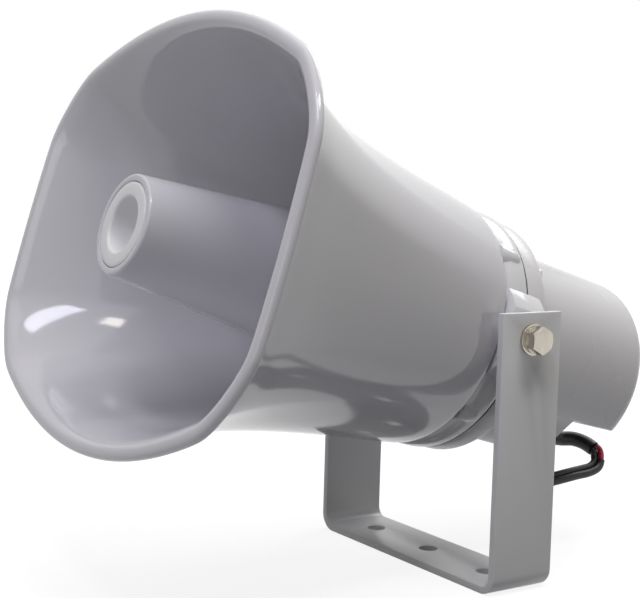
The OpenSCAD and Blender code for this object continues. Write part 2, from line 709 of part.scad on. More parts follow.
function smooth_route(route, steps) = let (n = len(route)) concat(
    [for (i = [0 : n - 2]) for (s = [0 : steps - 1])
        spline_point(route[max(i - 1, 0)], route[i], route[i + 1], route[min(i + 2, n - 1)], s / steps)],
    [route[n - 1]]
);

module cord(route, diameter, steps, sides) {
    path = smooth_route(route, steps);
    n = len(path);
    points = [
        for (i = [0 : n - 1])
            let (t = unit(path[min(i + 1, n - 1)] - path[max(i - 1, 0)]), u = unit(cross(t, [1, 0, 0])), v = cross(t, u))
            for (k = [0 : sides - 1]) let (a = 360 * k / sides) path[i] + diameter / 2 * (u * cos(a) + v * sin(a))
    ];
    walls = [
        for (i = [0 : n - 2]) for (k = [0 : sides - 1])
            let (a = i * sides + k, b = i * sides + (k + 1) % sides, c = b + sides, d = a + sides)
            for (f = [[a, c, b], [a, d, c]]) f
    ];
    start = [for (k = [0 : sides - 1]) k];
    end = [for (k = [sides - 1 : -1 : 0]) (n - 1) * sides + k];
    polyhedron(points, concat(walls, [start, end]));
}

module cable_sheath() {
    color("black") cord(sheath_route, sheath_d, 2, 10);
}

module red_lead() {
    color("red") cord(red_route, core_d, 2, 8);
}

module red_lead_sleeve() {
    color("black") cord(sleeve_route, sleeve_d, 2, 8);
}

module black_lead() {
    color("black") cord(black_route, sleeve_d, 2, 8);
}

module wire_end(route) {
    n = len(route);
    along = unit(route[n - 1] - route[n - 2]);
    color("peru") cord([route[n - 1], route[n - 1] + along * wire_end_l], wire_d, 1, 8);
}

module terminal_lead(side, tone) {
    tab_l = strip_l - 4;
    tab_y = strip_y - 2.2;
    entry_l = -keel_rear_l - 6;
    color(tone) horn_frame() cord([[side * terminal_x, tab_y, tab_l], [side * terminal_x, tab_y - 0.5, tab_l - 6],
        [side * (terminal_x - 1), tab_y - 1, tab_l - 16], [side * 3, -spout_drop - 1, entry_l + 16],
        [side * 1.6, -spout_drop, entry_l + 6], [side * 1.6, -spout_drop, entry_l]], 2, 2, 8);
}

bracket();
bell();
reflector_tube();
reflector_cap();
throat_tube();
bell_gasket();
mounting_ring();
housing_gasket();
rear_housing();
housing_screws();
driver_gasket();
driver_front_cover();
phase_plug();
diaphragm();
voice_coil();
diaphragm_spacer();
top_plate();
ring_magnet();
pole_plate();
driver_screws();
terminal_strip();
terminal_lead(1, "red");  // terminal_lead_red
terminal_lead(-1, "black");  // terminal_lead_black
tilt_bolt(-1);  // bolt_left
tilt_bolt(1);  // bolt_right
spring_washer(-1);  // spring_washer_left
spring_washer(1);  // spring_washer_right
washer(-1, arm_outer_x, flat_washer_t, washer_r, "silver");  // flat_washer_left
washer(1, arm_outer_x, flat_washer_t, washer_r, "silver");  // flat_washer_right
washer(-1, lug_outer_x, friction_washer_t, washer_r, "black");  // friction_washer_left
washer(1, lug_outer_x, friction_washer_t, washer_r, "black");  // friction_washer_right
captive_nut(-1);  // captive_nut_left
captive_nut(1);  // captive_nut_right
cable_gland();
cable_sheath();
red_lead();
red_lead_sleeve();
black_lead();
wire_end(sleeve_route);  // red_wire_end
wire_end(black_route);  // black_wire_end
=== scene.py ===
"""Looks of the horn speaker: smooth mouldings, enamelled bracket, plain fasteners and a free two-core lead."""
import json
import math

import bpy
from bpy.props import FloatProperty, FloatVectorProperty, IntProperty, PointerProperty
from mathutils import Matrix, Vector


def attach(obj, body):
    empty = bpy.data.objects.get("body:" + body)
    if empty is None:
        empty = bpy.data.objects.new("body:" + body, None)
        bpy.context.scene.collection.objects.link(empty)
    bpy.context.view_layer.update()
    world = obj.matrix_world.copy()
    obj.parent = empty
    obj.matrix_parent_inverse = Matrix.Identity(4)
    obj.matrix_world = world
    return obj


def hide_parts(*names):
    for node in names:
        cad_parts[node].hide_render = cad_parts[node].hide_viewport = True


bl_info = {
    "name": "Horn Speaker Looks",
    "version": (1, 0, 0),
    "blender": (4, 5, 0),
    "location": "3D View > Sidebar > Horn",
    "description": "Dresses the packed horn speaker with its mouldings, finishes and lead",
    "category": "Object",
}

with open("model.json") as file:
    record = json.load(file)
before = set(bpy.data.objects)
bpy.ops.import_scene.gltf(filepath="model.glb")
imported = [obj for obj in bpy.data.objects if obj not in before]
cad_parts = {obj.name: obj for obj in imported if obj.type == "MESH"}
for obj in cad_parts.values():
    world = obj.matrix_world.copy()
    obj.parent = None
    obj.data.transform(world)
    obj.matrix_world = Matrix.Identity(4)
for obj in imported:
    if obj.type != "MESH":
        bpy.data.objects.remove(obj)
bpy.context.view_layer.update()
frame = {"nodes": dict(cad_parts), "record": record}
MM = 0.001
FRAME_WIDTH = 640

# The horn's own frame: X across, Y up from the horn's axis, Z forward to the mouth, in millimetres
PIVOT_HEIGHT = 133.7
TILT = math.radians(16.4)
AXIS_DROP = 2.0
MOUTH = 195.4
HORN = (
    Matrix.Translation((0, 0, PIVOT_HEIGHT * MM))
    @ Matrix.Rotation(math.radians(90) - TILT, 4, "X")
    @ Matrix.Translation((0, -AXIS_DROP * MM, 0))
    @ Matrix.Scale(MM, 4)
)

# Routes of the free lead in millimetres, fitted to the photograph, up to 3 mm off those of the solids
SHEATH_ROUTE = [(0, 89, 61.6), (0, 94, 60.1), (1, 100, 59), (5, 106, 59), (11, 109.5, 57.5), (17.5, 111, 54.8)]
RED_ROUTE = [(18.5, 112.5, 56.4), (20.7, 113.1, 54.7), (22.8, 112.3, 52), (24.2, 110.9, 49.8)]
SLEEVE_ROUTE = [
    (24.6, 110.4, 49.1), (25.9, 108.3, 46.5), (27.2, 104, 44.6), (28, 97, 43.4),
    (28, 88, 42.8), (28, 79, 42), (27.5, 70, 41), (26.5, 61, 40),
]
BLACK_ROUTE = [
    (18.5, 110.2, 52.9), (19.8, 109.9, 50.4), (21.7, 108, 47.8), (22.8, 103.6, 45.8), (23.4, 97, 45.2),
    (23.5, 88, 44.6), (23.5, 79, 43.8), (23, 70, 42.8), (22, 62, 41.8),
]


# ---------------------------------------------------------------- colours and nodes

# The part of the noise's range over which shades and roughness are spread
NOISE_SPAN = (0.15, 0.85)
ABS_IOR = 1.54


def linear(hex_colour):
    """Turns an sRGB hex colour into the linear RGBA that shaders take."""
    channels = [int(hex_colour[i:i + 2], 16) / 255 for i in (1, 3, 5)]
    return tuple(c / 12.92 if c <= 0.04045 else ((c + 0.055) / 1.055) ** 2.4 for c in channels) + (1.0,)


def srgb_default(hex_colour):
    return linear(hex_colour)[:3]


def add_node(tree, kind, settings=None, inputs=None, links=None):
    """Adds one node. inputs are values by socket, links are (output socket) by input socket."""
    node = tree.nodes.new(kind)
    for name, value in (settings or {}).items():
        setattr(node, name, value)
    for name, value in (inputs or {}).items():
        node.inputs[name].default_value = value
    for name, output in (links or {}).items():
        tree.links.new(output, node.inputs[name])
    return node


def new_material(name):
    material = bpy.data.materials.new(name)
    material.use_nodes = True
    material.node_tree.nodes.clear()
    return material, material.node_tree


def as_rgba(colour):
    """Linear RGBA of a hex colour, or of a colour property, which is linear already."""
    return linear(colour) if isinstance(colour, str) else (*colour, 1.0)


def two_tone(tree, coordinates, light, dark, patch):
    """Colour that drifts between two near shades; patch is the size of the patches in millimetres."""
    noise = add_node(
        tree, "ShaderNodeTexNoise", inputs={"Scale": 1000 / patch, "Detail": 3.0, "Roughness": 0.55},
        links={"Vector": coordinates},
    )
    ramp = add_node(tree, "ShaderNodeValToRGB", links={"Fac": noise.outputs["Fac"]})
    ramp.color_ramp.interpolation = "B_SPLINE"
    for element, position, colour in zip(ramp.color_ramp.elements, NOISE_SPAN, (dark, light)):
        element.position = position
        element.color = as_rgba(colour)
    return ramp.outputs["Color"], noise.outputs["Fac"]


def bump_of(tree, coordinates, grain, height):
    """Bump from noise; grain and height are in millimetres."""
    noise = add_node(
        tree, "ShaderNodeTexNoise", inputs={"Scale": 1000 / grain, "Detail": 2.0, "Roughness": 0.5},
        links={"Vector": coordinates},
    )
    return add_node(
        tree, "ShaderNodeBump", inputs={"Strength": 1.0, "Distance": height * MM},
        links={"Height": noise.outputs["Fac"]},
    ).outputs["Normal"]


def surface(name, light, dark, patch, roughness, spread, grain, height, metallic=0.0, ior=1.5):
    """One plain finish: a base colour that drifts, a roughness that drifts with it, and a fine bump."""
    material, tree = new_material(name)
    coordinates = add_node(tree, "ShaderNodeTexCoord").outputs["Object"]
    colour, drift = two_tone(tree, coordinates, light, dark, patch)
    rough = add_node(tree, "ShaderNodeMapRange", {"interpolation_type": "SMOOTHERSTEP"}, {
        "From Min": NOISE_SPAN[0], "From Max": NOISE_SPAN[1],
        "To Min": roughness - spread, "To Max": roughness + spread,
    }, {"Value": drift}).outputs["Result"]
    normal = bump_of(tree, coordinates, grain, height)
    shader = add_node(tree, "ShaderNodeBsdfPrincipled", inputs={"Metallic": metallic, "IOR": ior},
                      links={"Base Color": colour, "Roughness": rough, "Normal": normal})
    add_node(tree, "ShaderNodeOutputMaterial", links={"Surface": shader.outputs["BSDF"]})
    return material


def make_materials(colours):
    """Every finish by its slot in the record; patch, grain and height are in millimetres."""
    return {
        # Injection moulded ABS: a polished mould leaves an even gloss with a faint ripple of the surface
        "bell_abs": surface(
            "moulded ABS bell", colours.bell, "#DCDBE0", patch=70, roughness=0.09, spread=0.01,
            ior=ABS_IOR, grain=45, height=0.05),
        "reflector_abs": surface(
            "moulded ABS centre tube", "#DFDEE4", "#DAD9E0", patch=60, roughness=0.17, spread=0.03,
            ior=ABS_IOR, grain=40, height=0.04),
        "cap_abs": surface(
            "moulded ABS cap", "#FAFAFB", "#F5F5F7", patch=30, roughness=0.34, spread=0.04,
            ior=ABS_IOR, grain=3, height=0.012),
        "ring_abs": surface(
            "moulded ABS ring", "#ECECEF", "#E8E8EB", patch=50, roughness=0.12, spread=0.02,
            ior=ABS_IOR, grain=30, height=0.03),
        "housing_abs": surface(
            "moulded ABS housing", "#E6E5E8", "#E3E2E5", patch=60, roughness=0.27, spread=0.015,
            ior=ABS_IOR, grain=4, height=0.012),
        # Baked enamel on steel: a fine orange peel and a soft gloss
        "bracket_enamel": surface(
            "baked enamel", "#E8E8EA", "#E5E5E7", patch=45, roughness=0.3, spread=0.02,
            ior=1.5, grain=1.6, height=0.02),
        # Moulded nitrile rubber: black, dull, with a slight mould texture
        "black_rubber": surface(
            "moulded rubber", "#1B1B1D", "#121214", patch=8, roughness=0.55, spread=0.06,
            ior=1.52, grain=0.9, height=0.02),
        # Cold headed stainless steel: bright but not polished, with fine drawing marks
        "stainless": surface(
            "stainless steel", "#C9C4B8", "#ABA598", patch=5, roughness=0.17, spread=0.04,
            metallic=1.0, grain=0.5, height=0.01),
        # Phenolic paper board: brown with a faint fibre
        "phenolic_board": surface(
            "phenolic board", "#6A4226", "#58351E", patch=3, roughness=0.5, spread=0.05,
            grain=0.6, height=0.01),
        # Die-cast aluminium: dull grey with a granular skin
        "die_cast": surface(
            "die-cast aluminium", "#A9AAAD", "#97989C", patch=6, roughness=0.42, spread=0.05,
            metallic=1.0, grain=0.7, height=0.02),
        # Phenolic resin on pressed cloth: amber, slightly uneven
        "dome_phenolic": surface(
            "phenolic cloth", "#A8762F", "#8F6226", patch=2, roughness=0.4, spread=0.05,
            grain=0.6, height=0.02),
        # Enamelled copper winding
        "coil_copper": surface(
            "enamelled copper", "#B7673A", "#9A5530", patch=1, roughness=0.3, spread=0.05,
            metallic=1.0, grain=0.3, height=0.02),
        # Zinc plate on mild steel: bluish, even, slightly cloudy
        "plated_steel": surface(
            "zinc plated steel", "#B4B6B8", "#A3A6AA", patch=9, roughness=0.33, spread=0.05,
            metallic=1.0, grain=0.8, height=0.01),
        # Sintered ferrite: charcoal, ground on its faces
        "ferrite": surface(
            "sintered ferrite", "#2E2E31", "#252528", patch=4, roughness=0.6, spread=0.06,
            grain=0.5, height=0.02),
        # Extruded PVC insulation: smooth, slightly greasy gloss
        "red_pvc": surface(
            "red PVC insulation", "#C81A3E", "#B01636", patch=5, roughness=0.3, spread=0.05,
            ior=1.53, grain=1.2, height=0.01),
        "black_pvc": surface(
            "black PVC sheath", "#0C0C0D", "#080809", patch=6, roughness=0.42, spread=0.04,
            ior=1.45, grain=1.0, height=0.02),
        # Bare copper strands at the ends of the cores
        "bare_copper": surface(
            "stranded copper", "#C07A4C", "#A0623B", patch=1, roughness=0.32, spread=0.05,
            metallic=1.0, grain=0.4, height=0.02),
        # Moulded nylon: black and dull
        "black_nylon": surface(
            "moulded nylon", "#19191B", "#131315", patch=5, roughness=0.45, spread=0.05,
            ior=1.53, grain=0.8, height=0.01),
    }


# Filled by main, before the operators run
MATERIALS = {}
SLOT_OF = {row["node"]: row["material_slot"] for row in frame["record"]["subparts"]}
BODY_OF = {name: body for body, names in frame["record"]["behaviour"]["bodies"].items() for name in names}


# ---------------------------------------------------------------- modelling helpers

def activate(piece):
    """Selects one piece alone and makes it active."""
    bpy.ops.object.select_all(action="DESELECT")
    piece.select_set(True)
    bpy.context.view_layer.objects.active = piece


def apply_modifier(piece, kind, **settings):
    modifier = piece.modifiers.new(kind.lower(), kind)
    for name, value in settings.items():
        setattr(modifier, name, value)
    activate(piece)
    bpy.ops.object.modifier_apply(modifier=modifier.name)


def smooth_by_angle(piece, degrees):
    activate(piece)
    bpy.ops.object.shade_smooth_by_angle(angle=math.radians(degrees))


def finish_piece(piece, node_name):
    """Gives a piece the material of its node's slot and its node's body, and hides the node's solid."""
    slot = SLOT_OF[node_name]
    piece.data.materials.clear()
    piece.data.materials.append(MATERIALS[slot])
    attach(piece, BODY_OF[node_name])
    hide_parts(node_name)


def merged_copy(node_name, name, flat_angle=0.6):
    """A copy of a solid's mesh with its triangles merged into one skin of flat faces."""
    piece = bpy.data.objects.new(name, frame["nodes"][node_name].data.copy())
    bpy.context.scene.collection.objects.link(piece)
    activate(piece)
    bpy.ops.mesh.customdata_custom_splitnormals_clear()
    bpy.ops.object.mode_set(mode="EDIT")
    bpy.ops.mesh.select_all(action="SELECT")
    bpy.ops.mesh.remove_doubles(threshold=0.000005)
    bpy.ops.mesh.dissolve_limited(angle_limit=math.radians(flat_angle), use_dissolve_boundaries=False)
    bpy.ops.object.mode_set(mode="OBJECT")
    return piece


def soft_edged_copy(node_name, name, edge, segments=2):
    """A merged copy whose edges are broken by a small round; edge is its width in millimetres."""
    piece = merged_copy(node_name, name)
    apply_modifier(
        piece, "BEVEL", width=edge * MM, segments=segments, limit_method="ANGLE", angle_limit=math.radians(28),
        use_clamp_overlap=True, miter_outer="MITER_ARC", harden_normals=False,
    )
    smooth_by_angle(piece, 34)
    finish_piece(piece, node_name)


def turned_piece(name, profile, steps=128, matrix=HORN):
    """Spins a closed profile of (radius, place along the axis) pairs in millimetres round the horn's axis."""
    mesh = bpy.data.meshes.new(name)
    count = len(profile)
    mesh.from_pydata([(r, 0, l) for r, l in profile], [(i, (i + 1) % count) for i in range(count)], [])
    piece = bpy.data.objects.new(name, mesh)
    bpy.context.scene.collection.objects.link(piece)
    activate(piece)
    bpy.ops.object.mode_set(mode="EDIT")
    bpy.ops.mesh.select_all(action="SELECT")
    bpy.ops.mesh.spin(steps=steps, angle=math.tau, center=(0, 0, 0), axis=(0, 0, 1))
    bpy.ops.mesh.select_all(action="SELECT")
    bpy.ops.mesh.remove_doubles(threshold=0.0005)
    bpy.ops.mesh.normals_make_consistent(inside=False)
    bpy.ops.object.mode_set(mode="OBJECT")
    piece.data.transform(matrix)
    return piece


def arc(cx, cy, radius, start, end, steps):
    """Points on an arc, angles in degrees."""
    turns = [math.radians(start + (end - start) * i / steps) for i in range(steps + 1)]
    return [(cx + radius * math.cos(turn), cy + radius * math.sin(turn)) for turn in turns]


def spline(route, steps):
    """A smooth line through a route's points, in metres."""
    points = [Vector(p) * MM for p in route]
    last = len(points) - 1
    line = []
    for i in range(last):
        p0, p1, p2, p3 = points[max(i - 1, 0)], points[i], points[i + 1], points[min(i + 2, last)]
        for s in range(steps):
            t = s / steps
            line.append(0.5 * (2 * p1 + (p2 - p0) * t + (2 * p0 - 5 * p1 + 4 * p2 - p3) * t * t
                               + (3 * p1 - p0 - 3 * p2 + p3) * t ** 3))
    return line + [points[last]]


def round_curve(name, points, diameter):
    """A round cord along the points, as a curve of one open spline."""
    curve = bpy.data.curves.new(name, "CURVE")
    curve.dimensions = "3D"
    curve.bevel_depth = diameter * MM / 2
    curve.bevel_resolution = 5
    curve.use_fill_caps = True
    path = curve.splines.new("POLY")
    path.points.add(len(points) - 1)
    for point, place in zip(path.points, points):
        point.co = (*place, 1)
    path.use_smooth = True
    piece = bpy.data.objects.new(name, curve)
    bpy.context.scene.collection.objects.link(piece)
    return piece


def tube_mesh(name, points, diameter):
    """A round tube along the points, as a mesh."""
    activate(round_curve(name, points, diameter))
    bpy.ops.object.convert(target="MESH")
    return bpy.context.view_layer.objects.active


# ---------------------------------------------------------------- properties

class HORN_PG_sizes(bpy.types.PropertyGroup):
    """Sizes that a user would change."""

    lip_rounding: IntProperty(
        name="Bell smoothing", description="Subdivision levels of the bell", default=2, min=0, max=3)
    mouth_trim: FloatProperty(
        name="Mouth trim", description="How far each side of the mouth is drawn in, in millimetres",
        default=1.7, min=0, max=3)
    lip_trim: FloatProperty(
        name="Lip trim", description="How far the rear edge of the lip is drawn forward, in millimetres",
        default=3.4, min=0, max=4)
    edge_break: FloatProperty(
        name="Edge break", description="Width of the round on the enamelled strap's edges, in millimetres",
        default=0.7, min=0.1, max=1.5)
    moulding_break: FloatProperty(
        name="Moulding edge", description="Width of the round on the mouldings' edges, in millimetres",
        default=0.5, min=0.1, max=1.0)
    sheath_diameter: FloatProperty(
        name="Sheath", description="Diameter of the lead's sheath, in millimetres", default=8.8, min=6, max=9)
    core_diameter: FloatProperty(
        name="Core", description="Diameter of one insulated core, in millimetres", default=3.4, min=2, max=3.6)
    sleeve_diameter: FloatProperty(
        name="Sleeve", description="Diameter of the sleeves over the cores, in millimetres",
        default=4.6, min=3.6, max=4.7)
    lamp_power: FloatProperty(
        name="Lamp power", description="Power of which each lamp takes its share",
        default=2.75, min=0, unit="POWER")


class HORN_PG_colours(bpy.types.PropertyGroup):
    """Colours that a user would change."""

    bell: FloatVectorProperty(
        name="Bell", description="Lighter shade of the bell's moulded ABS", subtype="COLOR",
        default=srgb_default("#E0DFE4"), min=0, max=1)
    floor: FloatVectorProperty(
        name="Floor", description="Colour of the floor", subtype="COLOR", default=srgb_default("#909094"),
        min=0, max=1)


# ---------------------------------------------------------------- operators

class HORN_OT_camera(bpy.types.Operator):
    """Sets the camera at the photograph's viewing angle"""

    bl_idname = "horn.camera"
    bl_label = "Camera"

    def execute(self, context):
        azimuth, elevation, roll = math.radians(56.1), math.radians(5.34), math.radians(1.61)
        focal_px = 1319.49
        place = Vector((0.5764, -0.4666, 0.2144))
        back = Vector((
            math.sin(azimuth) * math.cos(elevation), -math.cos(azimuth) * math.cos(elevation), math.sin(elevation)))
        right = Vector((math.cos(azimuth), math.sin(azimuth), 0))
        up = back.cross(right)
        right_rolled = math.cos(roll) * right + math.sin(roll) * up
        up_rolled = math.cos(roll) * up - math.sin(roll) * right
        data = bpy.data.cameras.new("camera")
        data.sensor_fit = "HORIZONTAL"
        data.sensor_width = 36
        data.lens = focal_px / FRAME_WIDTH * data.sensor_width
        camera = bpy.data.objects.new("camera", data)
        context.scene.collection.objects.link(camera)
        turn = Matrix((right_rolled, up_rolled, back)).transposed().to_4x4()
        camera.matrix_world = Matrix.Translation(place) @ turn
        context.scene.camera = camera
        return {"FINISHED"}


class HORN_OT_lead(bpy.types.Operator):
    """Lays the free lead: the sheath, its red and black cores, their sleeves and bare ends"""

    bl_idname = "horn.lead"
    bl_label = "Free lead"

    def execute(self, context):
        sizes = context.scene.horn_sizes
        sheath_line = spline(SHEATH_ROUTE, 5)
        red_line = spline(RED_ROUTE, 4)[:-1] + spline(SLEEVE_ROUTE, 4)
        black_line = spline(SHEATH_ROUTE[:-1] + BLACK_ROUTE, 4)
        sheath = tube_mesh("lead_sheath", sheath_line, sizes.sheath_diameter)
        finish_piece(sheath, "cable_sheath")
        sleeve = tube_mesh("lead_sleeve_red_core", spline(SLEEVE_ROUTE, 4), sizes.sleeve_diameter)
        finish_piece(sleeve, "red_lead_sleeve")
        red = round_curve("lead_core_red", red_line, sizes.core_diameter)
        finish_piece(red, "red_lead")
        black = round_curve("lead_core_black", black_line, sizes.sleeve_diameter)
        finish_piece(black, "black_lead")
        red_end = wire_end("lead_bare_end_red", red_line, "red_wire_end")
        black_end = wire_end("lead_bare_end_black", black_line, "black_wire_end")
        return {"FINISHED"}


def wire_end(name, line, node_name):
    """Seven strands twisted together, standing out of a core's end."""
    strand_r, bundle_r, length, turns, steps = 0.3, 0.6, 7.0, 0.8, 14
    along = (line[-1] - line[-2]).normalized()
    across = along.orthogonal().normalized()
    other = along.cross(across)
    strands = []
    for k in range(7):
        radius = 0 if k == 6 else bundle_r
        points = []
        for i in range(steps + 1):
            angle = math.tau * (k / 6 + turns * i / steps)
            offset = across * math.cos(angle) + other * math.sin(angle)
            points.append(line[-1] + along * (length * i / steps - 1.5) * MM + offset * radius * MM)
        strands.append(round_curve(f"{name}_{k}", points, strand_r * 2))
        strands[-1].data.bevel_resolution = 1
    bpy.ops.object.select_all(action="DESELECT")
    for strand in strands:
        strand.select_set(True)
    bpy.context.view_layer.objects.active = strands[0]
    bpy.ops.object.convert(target="MESH")
    bpy.ops.object.join()
    piece = bpy.context.view_layer.objects.active
    piece.name = name
    finish_piece(piece, node_name)
    return piece


class HORN_OT_bell(bpy.types.Operator):
    """Smooths the bell's flare and rolled lip"""

    bl_idname = "horn.bell"
    bl_label = "Bell"

    def execute(self, context):
        piece = merged_copy("bell", "bell_shell", flat_angle=0.01)
        activate(piece)
        bpy.ops.object.mode_set(mode="EDIT")
        bpy.ops.mesh.select_all(action="SELECT")
        bpy.ops.mesh.tris_convert_to_quads(face_threshold=math.radians(60), shape_threshold=math.radians(179))
        bpy.ops.object.mode_set(mode="OBJECT")
        slim_lip(piece, context.scene.horn_sizes)
        apply_modifier(piece, "SUBSURF", levels=context.scene.horn_sizes.lip_rounding,
                       render_levels=context.scene.horn_sizes.lip_rounding)
        smooth_by_angle(piece, 60)
        finish_piece(piece, "bell")
        return {"FINISHED"}


def smoothstep(value, low, high):
    t = min(max((value - low) / (high - low), 0.0), 1.0)
    return t * t * (3 - 2 * t)


def slim_lip(piece, sizes):
    """Draws the sides of the mouth in a little and the rear edge of the lip forward, as in the photograph."""
    half_width, flare_start = 140, 60
    lip_start, lip_rear = MOUTH - 22, MOUTH - 8.5
    lip_middle, lip_front = MOUTH - 7.5, MOUTH - 1.5
    faces_ahead = 0.35
    to_horn = HORN.inverted()
    turn = HORN.to_3x3().inverted()
    for vertex in piece.data.vertices:
        place = to_horn @ vertex.co
        ahead = (turn @ vertex.normal).normalized().z
        x_share = 1 - sizes.mouth_trim / half_width * smoothstep(place.z, flare_start, MOUTH)
        forward = 0.0
        if ahead < faces_ahead:
            forward = sizes.lip_trim * smoothstep(place.z, lip_start, lip_rear)
            forward *= 1 - smoothstep(place.z, lip_middle, lip_front)
        vertex.co = HORN @ Vector((place.x * x_share, place.y, place.z + forward))


class HORN_OT_centre_tube(bpy.types.Operator):
    """Spins the reflector tube and its inset cap"""

    bl_idname = "horn.centre_tube"
    bl_label = "Centre tube and cap"

    def execute(self, context):
        tip_r, tip_l, rear_r, rear_l, wall = 25.3, 202.0, 41.8, 34.0, 2.4

        def outer_r(l):
            return rear_r + (tip_r - rear_r) * (l - rear_l) / (tip_l - rear_l)

        tube = turned_piece("reflector_shell", [
            (rear_r - wall, rear_l), (rear_r - 0.6, rear_l), (rear_r, rear_l + 0.8), (outer_r(90), 90),
            (outer_r(150), 150), (outer_r(tip_l - 1.4), tip_l - 1.4),
            *arc(tip_r - 1.2, tip_l - 1.3, 1.3, 15, 90, 6),
            *arc(22.3, tip_l - 0.6, 0.6, 90, 180, 3),
            (21.7, 196), (18.5, 196), (18.5, 194), (outer_r(191) - wall, 191), (outer_r(110) - wall, 110),
        ])
        smooth_by_angle(tube, 32)
        finish_piece(tube, "reflector_tube")
        cap = turned_piece("reflector_cap_disc", [
            (0, 168), *arc(1.4, 169.2, 1.2, -90, -30, 3), (4.06, 171.5), (6.4, 176.2), (9.0, 182.3),
            (10.9, 188), (12.2, 194), (13.4, 198.3), *arc(15.2, 200.3, 1.7, 170, 90, 6), (18.4, 202),
            *arc(20.5, 201.1, 0.9, 90, 0, 4), (21.4, 196), (18.2, 196), (18.2, 192.5), (16.2, 192.5),
            (14.4, 192), (11.2, 181), (6.3, 168.5), (0, 165),
        ])
        smooth_by_angle(cap, 32)
        finish_piece(cap, "reflector_cap")
        return {"FINISHED"}


class HORN_OT_mouldings(bpy.types.Operator):
    """Rounds the edges of the ring, the housing and the throat tube"""

    bl_idname = "horn.mouldings"
    bl_label = "Ring, housing and throat"

    def execute(self, context):
        edge = context.scene.horn_sizes.moulding_break
        soft_edged_copy("mounting_ring", "ring_moulding", edge)
        soft_edged_copy("rear_housing", "housing_moulding", edge)
        soft_edged_copy("throat_tube", "throat_moulding", edge * 0.6)
        soft_edged_copy("cable_gland", "gland_boot", 0.3)
        return {"FINISHED"}


class HORN_OT_bracket(bpy.types.Operator):
    """Breaks the enamelled strap's edges"""

    bl_idname = "horn.bracket"
    bl_label = "Bracket"

    def execute(self, context):
        soft_edged_copy("bracket", "bracket_strap", context.scene.horn_sizes.edge_break, segments=3)
        return {"FINISHED"}


class HORN_OT_fasteners(bpy.types.Operator):
    """Breaks the edges of the bolts, washers and screws"""

    bl_idname = "horn.fasteners"
    bl_label = "Bolts, washers and screws"

    def execute(self, context):
        for side in ("left", "right"):
            chamfered_bolt(side)
            soft_edged_copy(f"flat_washer_{side}", f"plain_washer_{side}", 0.2)
            soft_edged_copy(f"spring_washer_{side}", f"split_washer_{side}", 0.2)
            soft_edged_copy(f"friction_washer_{side}", f"nylon_washer_{side}", 0.2)
        soft_edged_copy("housing_screws", "pan_head_screws", 0.15)
        return {"FINISHED"}


def chamfered_bolt(side):
    """A bolt whose hexagon is turned down to a round face, as every cold headed bolt is."""
    piece = merged_copy(f"bolt_{side}", f"hex_bolt_{side}")
    outward = -1 if side == "left" else 1
    face = max(outward * vertex.co.x for vertex in piece.data.vertices) / MM
    face_r, reach, depth = 6.1, 20.0, 120
    cone_start = face - (reach - face_r) * math.tan(math.radians(30))
    to_side = (
        Matrix.Translation((0, 0, PIVOT_HEIGHT * MM))
        @ Matrix.Rotation(outward * math.pi / 2, 4, "Y")
        @ Matrix.Scale(MM, 4)
    )
    cutter = turned_piece(f"chamfer_{side}", [
        (0, face - depth), (reach, face - depth), (reach, cone_start), (face_r, face), (0, face),
    ], steps=64, matrix=to_side)
    apply_modifier(piece, "BOOLEAN", operation="INTERSECT", object=cutter, solver="EXACT")
    bpy.data.objects.remove(cutter)
    apply_modifier(piece, "BEVEL", width=0.18 * MM, segments=2, limit_method="ANGLE", angle_limit=math.radians(20))
    smooth_by_angle(piece, 26)
    finish_piece(piece, f"bolt_{side}")


class HORN_OT_finishes(bpy.types.Operator):
    """Gives every other solid the finish of its slot"""

    bl_idname = "horn.finishes"
    bl_label = "Finishes of the solids"

    def execute(self, context):
        for name, solid in frame["nodes"].items():
            solid.data.materials.clear()
            solid.data.materials.append(MATERIALS[SLOT_OF[name]])
        return {"FINISHED"}


# Each lamp's name, place, target, width and height, share of the lamp power, direction of its long side and colour
BELL_LOW, MIDDLE, WHITE = (-0.1, -0.17, 0.13), (0, -0.05, 0.13), (1, 1, 1)
LAMPS = (
    ("panel_front", (0.31, -0.62, 1.17), BELL_LOW, (0.56, 0.17), 1.19, (1, 0, 0), (0.85, 0.85, 1)),
    ("panel_rear", (0.5, -0.05, 1.18), BELL_LOW, (0.56, 0.15), 1.12, (0.1, 1, 0), (1, 0.96, 0.87)),
    ("room_front", (0.3, -1.9, 0.5), MIDDLE, (0.8, 0.8), 1.05, (0, 0, 1), WHITE),
    ("room_front_high", (-0.1, -1.6, 1.7), MIDDLE, (0.9, 0.9), 0.67, (0, 0, 1), WHITE),
    ("room_rear", (-0.5, 1.3, 1.5), MIDDLE, (1.0, 1.0), 3.4, (1, 0, 0), WHITE),
    ("room_top", (0.0, 0.1, 2.0), MIDDLE, (1.4, 1.4), 4.8, (1, 0, 0), WHITE),
)


class HORN_OT_stage(bpy.types.Operator):
    """Lays a pale floor in a white surround and sets the soft lamps"""

    bl_idname = "horn.stage"
    bl_label = "Floor and lamps"

    def execute(self, context):
        bpy.ops.object.select_all(action="DESELECT")
        bpy.ops.mesh.primitive_plane_add(size=12, location=(0, 0, 0))
        floor = context.view_layer.objects.active
        floor.name = "floor"
        floor.data.materials.append(stage_material("pale floor", context.scene.horn_colours.floor))
        white_surround(context)
        for name, place, target, size, share, along, colour in LAMPS:
            power = context.scene.horn_sizes.lamp_power * share
            lamp = add_light(context, name, place, target, size, power, along, colour)
            # The ceiling lamp would leave a square in the gloss of the bell
            lamp.visible_glossy = name != "room_top"
        return {"FINISHED"}


